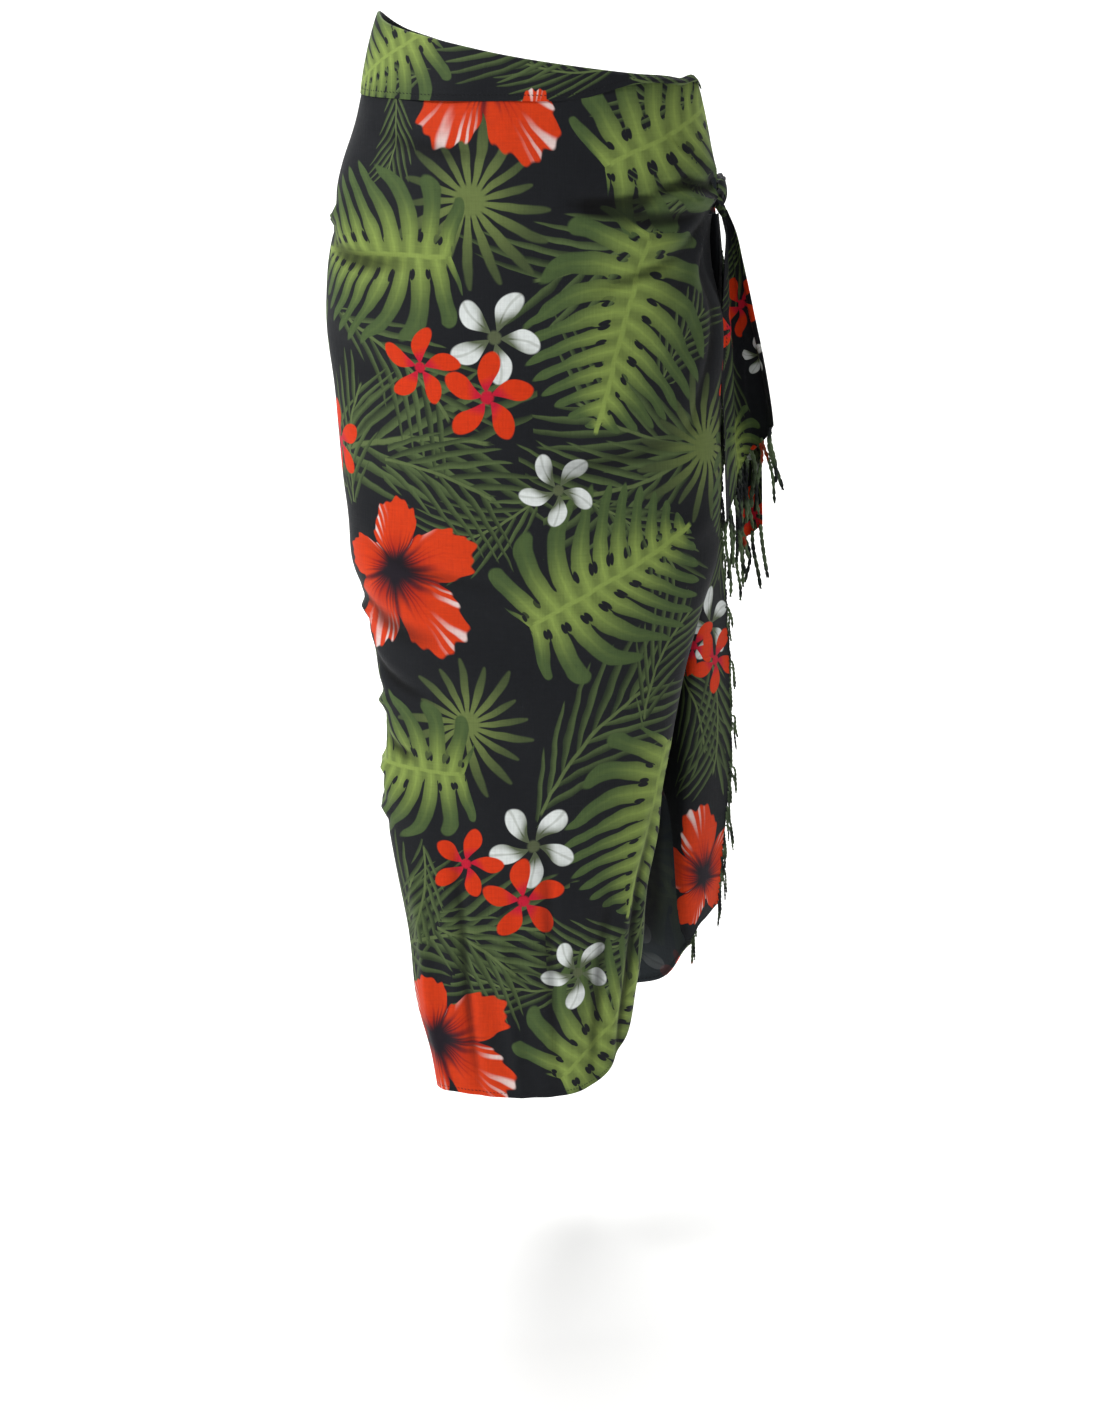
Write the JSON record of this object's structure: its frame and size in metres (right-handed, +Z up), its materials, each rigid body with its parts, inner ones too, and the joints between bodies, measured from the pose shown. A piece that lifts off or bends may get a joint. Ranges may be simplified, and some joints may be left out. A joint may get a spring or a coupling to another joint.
{
  "type": "sarong",
  "caption": "Ankle-length wrapped sarong in a leaf and flower print, top edge folded over, tied at the left hip, with a side slit and fringed ends.",
  "frame": {"origin": "middle of the waist, on the level where the wearer's body holds the cloth up", "axes": "+Z up, -Y the front of the garment, +X the wearer's left hip with the knot and the slit"},
  "size_m": [0.3897, 0.3137, 0.9492],
  "materials": {
    "printed_rayon": "plain-woven rayon printed with leaves and flowers on black",
    "fringe_thread": "threads of the cloth twisted into strands"
  },
  "bodies": {
    "root": {"front_stretch": "printed_rayon", "back_stretch": "printed_rayon", "front_fall": "printed_rayon", "waist_fold_front": "printed_rayon", "waist_fold_back": "printed_rayon", "hip_knot": "printed_rayon", "front_tail": "printed_rayon", "back_tail": "printed_rayon", "fall_fringe": "fringe_thread", "back_fringe": "fringe_thread", "front_tail_fringe": "fringe_thread", "back_tail_fringe": "fringe_thread"}
  },
  "joints": []
}
